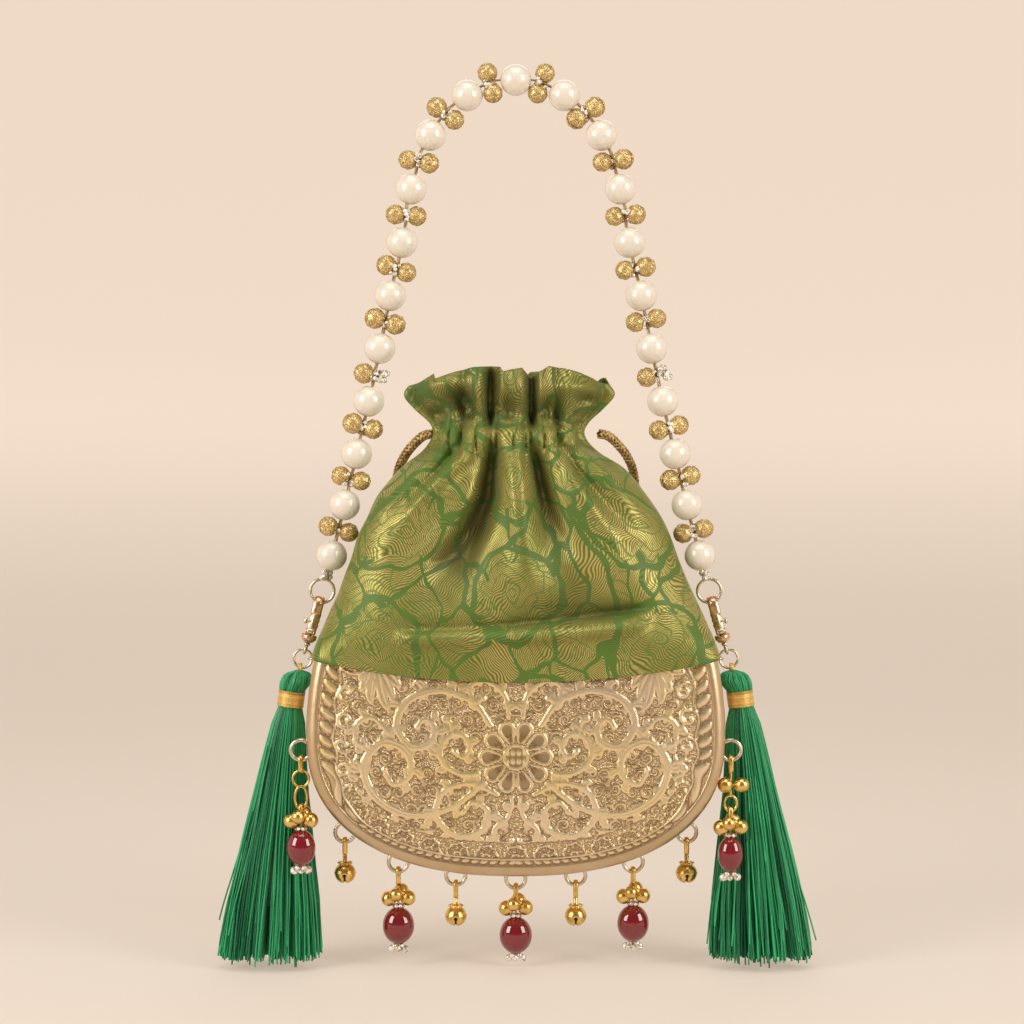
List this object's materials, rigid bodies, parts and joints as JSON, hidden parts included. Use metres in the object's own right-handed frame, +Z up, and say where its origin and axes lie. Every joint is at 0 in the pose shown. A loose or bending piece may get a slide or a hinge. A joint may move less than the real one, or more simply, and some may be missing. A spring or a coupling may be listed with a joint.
{
  "type": "potli bag",
  "caption": "Drawstring potli bag: brocade pouch on an embossed metal shell, with a pearl and bell handle, trigger clasps, silk tassels and hanging ruby charms.",
  "frame": {"origin": "centre of the handle's top pearl, where the bag is held", "axes": "+Z up along the hanging bag, +X to the right of its embossed front, which faces -Y"},
  "size_m": [0.2666, 0.0638, 0.4058],
  "materials": {
    "pearl": "lustrous cream pearl coating",
    "brass": "crinkled and polished gold plating",
    "clasp_metal": "rose gold plating",
    "silver_gold": "pale champagne plating",
    "shell_metal": "embossed antique gold sheet",
    "brocade": "silk brocade with metallic weft",
    "lining_cloth": "plain satin lining",
    "cord": "braided antique gold cord",
    "silk_green": "glossy silk threads",
    "gold_thread": "metallic thread wrapping",
    "ruby": "polished deep red stone"
  },
  "bodies": {
    "handle": {"pearl_01": "pearl", "pearl_02": "pearl", "pearl_03": "pearl", "pearl_04": "pearl", "pearl_05": "pearl", "pearl_06": "pearl", "pearl_07": "pearl", "pearl_08": "pearl", "pearl_09": "pearl", "pearl_10": "pearl", "pearl_11": "pearl", "pearl_12": "pearl", "pearl_13": "pearl", "pearl_14": "pearl", "pearl_15": "pearl", "pearl_16": "pearl", "pearl_17": "pearl", "pearl_18": "pearl", "pearl_19": "pearl", "pearl_20": "pearl", "pearl_21": "pearl", "ghungroo_cord": "brass", "handle_ring_left": "silver_gold", "handle_ring_right": "silver_gold"},
    "bag": {"side_band": "shell_metal", "shell_front": "shell_metal", "shell_back": "shell_metal", "lining": "lining_cloth", "pouch": "brocade", "drawcord_left": "cord", "drawcord_right": "cord", "bag_ring_left": "silver_gold", "bag_ring_right": "silver_gold", "clasp_swivel_left": "clasp_metal", "clasp_swivel_right": "clasp_metal"},
    "clasp_left": {"clasp_body_left": "clasp_metal"},
    "gate_left": {"clasp_gate_left": "silver_gold"},
    "tassel_left": {"tassel_left": "silk_green", "tassel_binding_left": "gold_thread"},
    "chain_left": {"side_chain_left": "brass"},
    "side_drop_left": {"drop_hook_left": "brass", "ruby_left": "ruby"},
    "clasp_right": {"clasp_body_right": "clasp_metal"},
    "gate_right": {"clasp_gate_right": "silver_gold"},
    "tassel_right": {"tassel_right": "silk_green", "tassel_binding_right": "gold_thread"},
    "chain_right": {"side_chain_right": "brass"},
    "side_drop_right": {"drop_hook_right": "brass", "ruby_right": "ruby"},
    "drop_1": {"drop_hook_1": "brass", "ruby_1": "ruby"},
    "drop_2": {"drop_hook_2": "brass", "ruby_2": "ruby"},
    "drop_3": {"drop_hook_3": "brass", "ruby_3": "ruby"},
    "bell_1": {"bell_1": "brass"},
    "bell_2": {"bell_2": "brass"},
    "bell_3": {"bell_3": "brass"},
    "bell_4": {"bell_4": "brass"}
  },
  "joints": [
    {"name": "bag_swing", "type": "hinge", "parent": "handle", "child": "bag", "pos_m": [0, 0, -0.23392], "axis": [1, 0, 0], "range_deg": [-45, 45]},
    {"name": "clasp_swivel_left", "type": "hinge", "parent": "bag", "child": "clasp_left", "pos_m": [-0.08867, 0, -0.23392], "axis": [0.2764, 0, 0.961], "range_deg": [-15, 15]},
    {"name": "clasp_gate_left", "type": "hinge", "parent": "clasp_left", "child": "gate_left", "pos_m": [-0.09238, -0.0032, -0.2468], "axis": [0.961, 0, -0.2764], "range_deg": [-25, 0], "stiffness_Nm_per_rad": 0.0002, "springref_deg": 17.19},
    {"name": "tassel_swing_left", "type": "hinge", "parent": "bag", "child": "tassel_left", "pos_m": [-0.0973, 0, -0.2633], "axis": [1, 0, 0], "range_deg": [-2, 35]},
    {"name": "chain_swing_left", "type": "hinge", "parent": "bag", "child": "chain_left", "pos_m": [-0.0956, -0.017, -0.303], "axis": [1, 0, 0], "range_deg": [-45, 2]},
    {"name": "side_drop_swing_left", "type": "hinge", "parent": "chain_left", "child": "side_drop_left", "pos_m": [-0.0956, -0.017, -0.3246], "axis": [1, 0, 0], "range_deg": [-45, 2]},
    {"name": "clasp_swivel_right", "type": "hinge", "parent": "bag", "child": "clasp_right", "pos_m": [0.08867, 0, -0.23392], "axis": [-0.2764, 0, 0.961], "range_deg": [-15, 15]},
    {"name": "clasp_gate_right", "type": "hinge", "parent": "clasp_right", "child": "gate_right", "pos_m": [0.09238, -0.0032, -0.2468], "axis": [0.961, 0, 0.2764], "range_deg": [-25, 0], "stiffness_Nm_per_rad": 0.0002, "springref_deg": 17.19},
    {"name": "tassel_swing_right", "type": "hinge", "parent": "bag", "child": "tassel_right", "pos_m": [0.0973, 0, -0.2633], "axis": [1, 0, 0], "range_deg": [-2, 35]},
    {"name": "chain_swing_right", "type": "hinge", "parent": "bag", "child": "chain_right", "pos_m": [0.0956, -0.017, -0.303], "axis": [1, 0, 0], "range_deg": [-45, 2]},
    {"name": "side_drop_swing_right", "type": "hinge", "parent": "chain_right", "child": "side_drop_right", "pos_m": [0.0956, -0.017, -0.326], "axis": [1, 0, 0], "range_deg": [-45, 2]},
    {"name": "drop_swing_1", "type": "hinge", "parent": "bag", "child": "drop_1", "pos_m": [-0.05309, 0, -0.35601], "axis": [1, 0, 0], "range_deg": [-60, 60]},
    {"name": "drop_swing_2", "type": "hinge", "parent": "bag", "child": "drop_2", "pos_m": [0, 0, -0.36355], "axis": [1, 0, 0], "range_deg": [-60, 60]},
    {"name": "drop_swing_3", "type": "hinge", "parent": "bag", "child": "drop_3", "pos_m": [0.05309, 0, -0.35601], "axis": [1, 0, 0], "range_deg": [-60, 60]},
    {"name": "bell_swing_1", "type": "hinge", "parent": "bag", "child": "bell_1", "pos_m": [-0.07723, 0, -0.34258], "axis": [1, 0, 0], "range_deg": [-60, 60]},
    {"name": "bell_swing_2", "type": "hinge", "parent": "bag", "child": "bell_2", "pos_m": [-0.02709, 0, -0.36207], "axis": [1, 0, 0], "range_deg": [-60, 60]},
    {"name": "bell_swing_3", "type": "hinge", "parent": "bag", "child": "bell_3", "pos_m": [0.02709, 0, -0.36207], "axis": [1, 0, 0], "range_deg": [-60, 60]},
    {"name": "bell_swing_4", "type": "hinge", "parent": "bag", "child": "bell_4", "pos_m": [0.07723, 0, -0.34258], "axis": [1, 0, 0], "range_deg": [-60, 60]}
  ]
}
